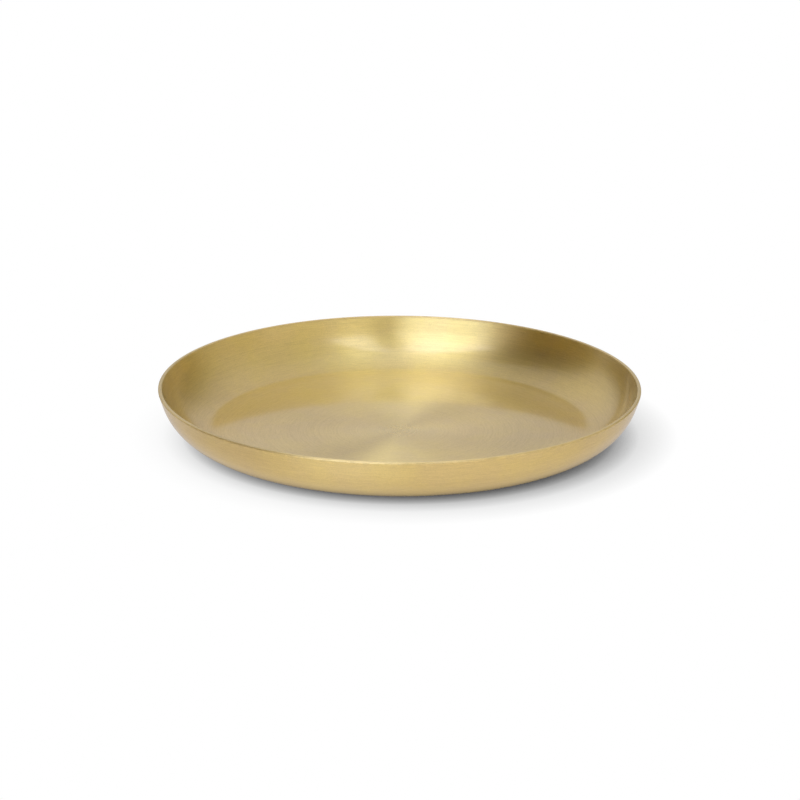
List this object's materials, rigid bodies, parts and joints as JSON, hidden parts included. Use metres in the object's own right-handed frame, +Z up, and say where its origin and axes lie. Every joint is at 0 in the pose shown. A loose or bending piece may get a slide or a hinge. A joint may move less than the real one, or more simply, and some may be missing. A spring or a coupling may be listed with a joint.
{
  "type": "round tray",
  "caption": "Shallow round brass tray with a flat floor, a wide bend, an outward leaning wall and a level cut lip, for serving or holding small things.",
  "frame": {"origin": "centre of the flat base, on the surface that the tray stands on", "axes": "+Z up along the tray's axis, from the base towards the lip; the tray is the same all round, and -Y faces the picture's camera"},
  "size_m": [0.25, 0.25, 0.026],
  "materials": {
    "brushed_brass": "satin, brushed in fine circles round the axis"
  },
  "bodies": {
    "root": {"tray_dish": "brushed_brass"}
  },
  "joints": []
}
